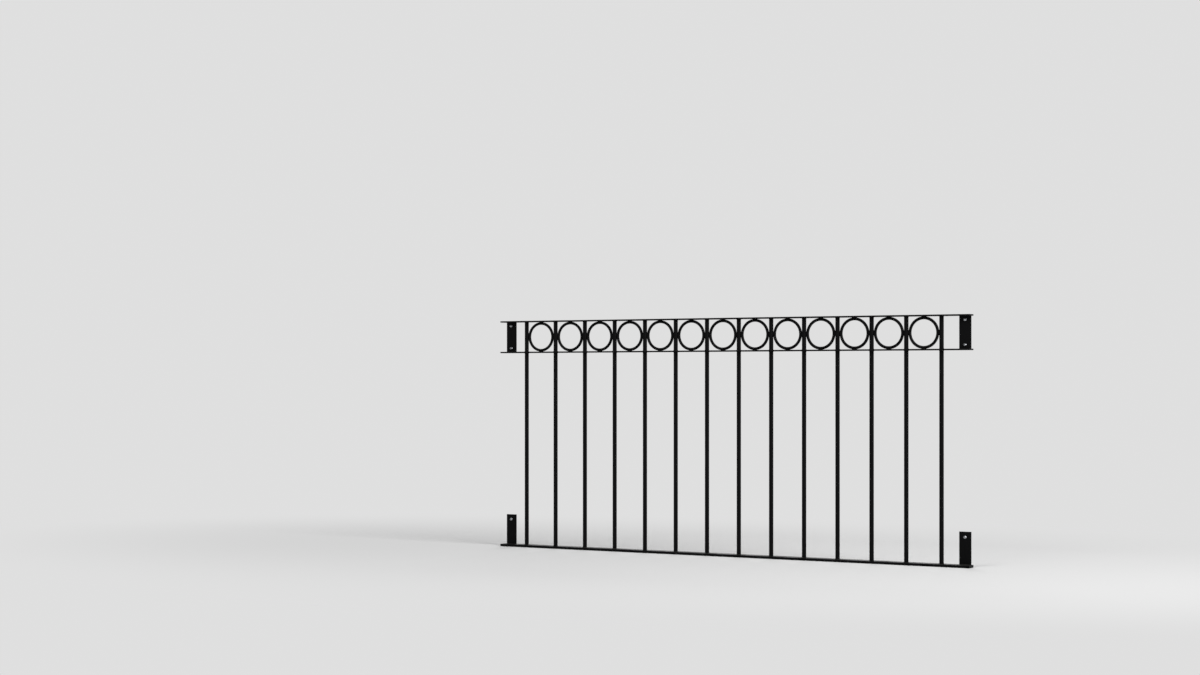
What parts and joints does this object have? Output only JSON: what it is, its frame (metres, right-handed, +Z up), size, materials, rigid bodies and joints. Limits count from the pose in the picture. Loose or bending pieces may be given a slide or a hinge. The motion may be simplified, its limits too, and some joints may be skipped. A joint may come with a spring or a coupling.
{
  "type": "juliet balcony",
  "caption": "Welded black steel juliet balcony railing with round bars between flat rails, a row of rings under the top rail and wall plates at both ends.",
  "frame": {"origin": "middle of the back face of the lower left wall plate, which lies on the wall", "axes": "+X along the railing from its left to its right end as seen from outside, +Y into the wall, +Z up"},
  "size_m": [2.2, 0.045, 1],
  "materials": {
    "black_paint": "satin",
    "zinc_fixings": "satin"
  },
  "bodies": {
    "root": {"top_rail": "black_paint", "ring_rail": "black_paint", "bottom_rail": "black_paint", "rings": "black_paint", "bar_01": "black_paint", "bar_02": "black_paint", "bar_03": "black_paint", "bar_04": "black_paint", "bar_05": "black_paint", "bar_06": "black_paint", "bar_07": "black_paint", "bar_08": "black_paint", "bar_09": "black_paint", "bar_10": "black_paint", "bar_11": "black_paint", "bar_12": "black_paint", "bar_13": "black_paint", "bar_14": "black_paint", "upper_left_wall_plate": "black_paint", "upper_right_wall_plate": "black_paint", "lower_left_wall_plate": "black_paint", "lower_right_wall_plate": "black_paint"}
  },
  "joints": []
}
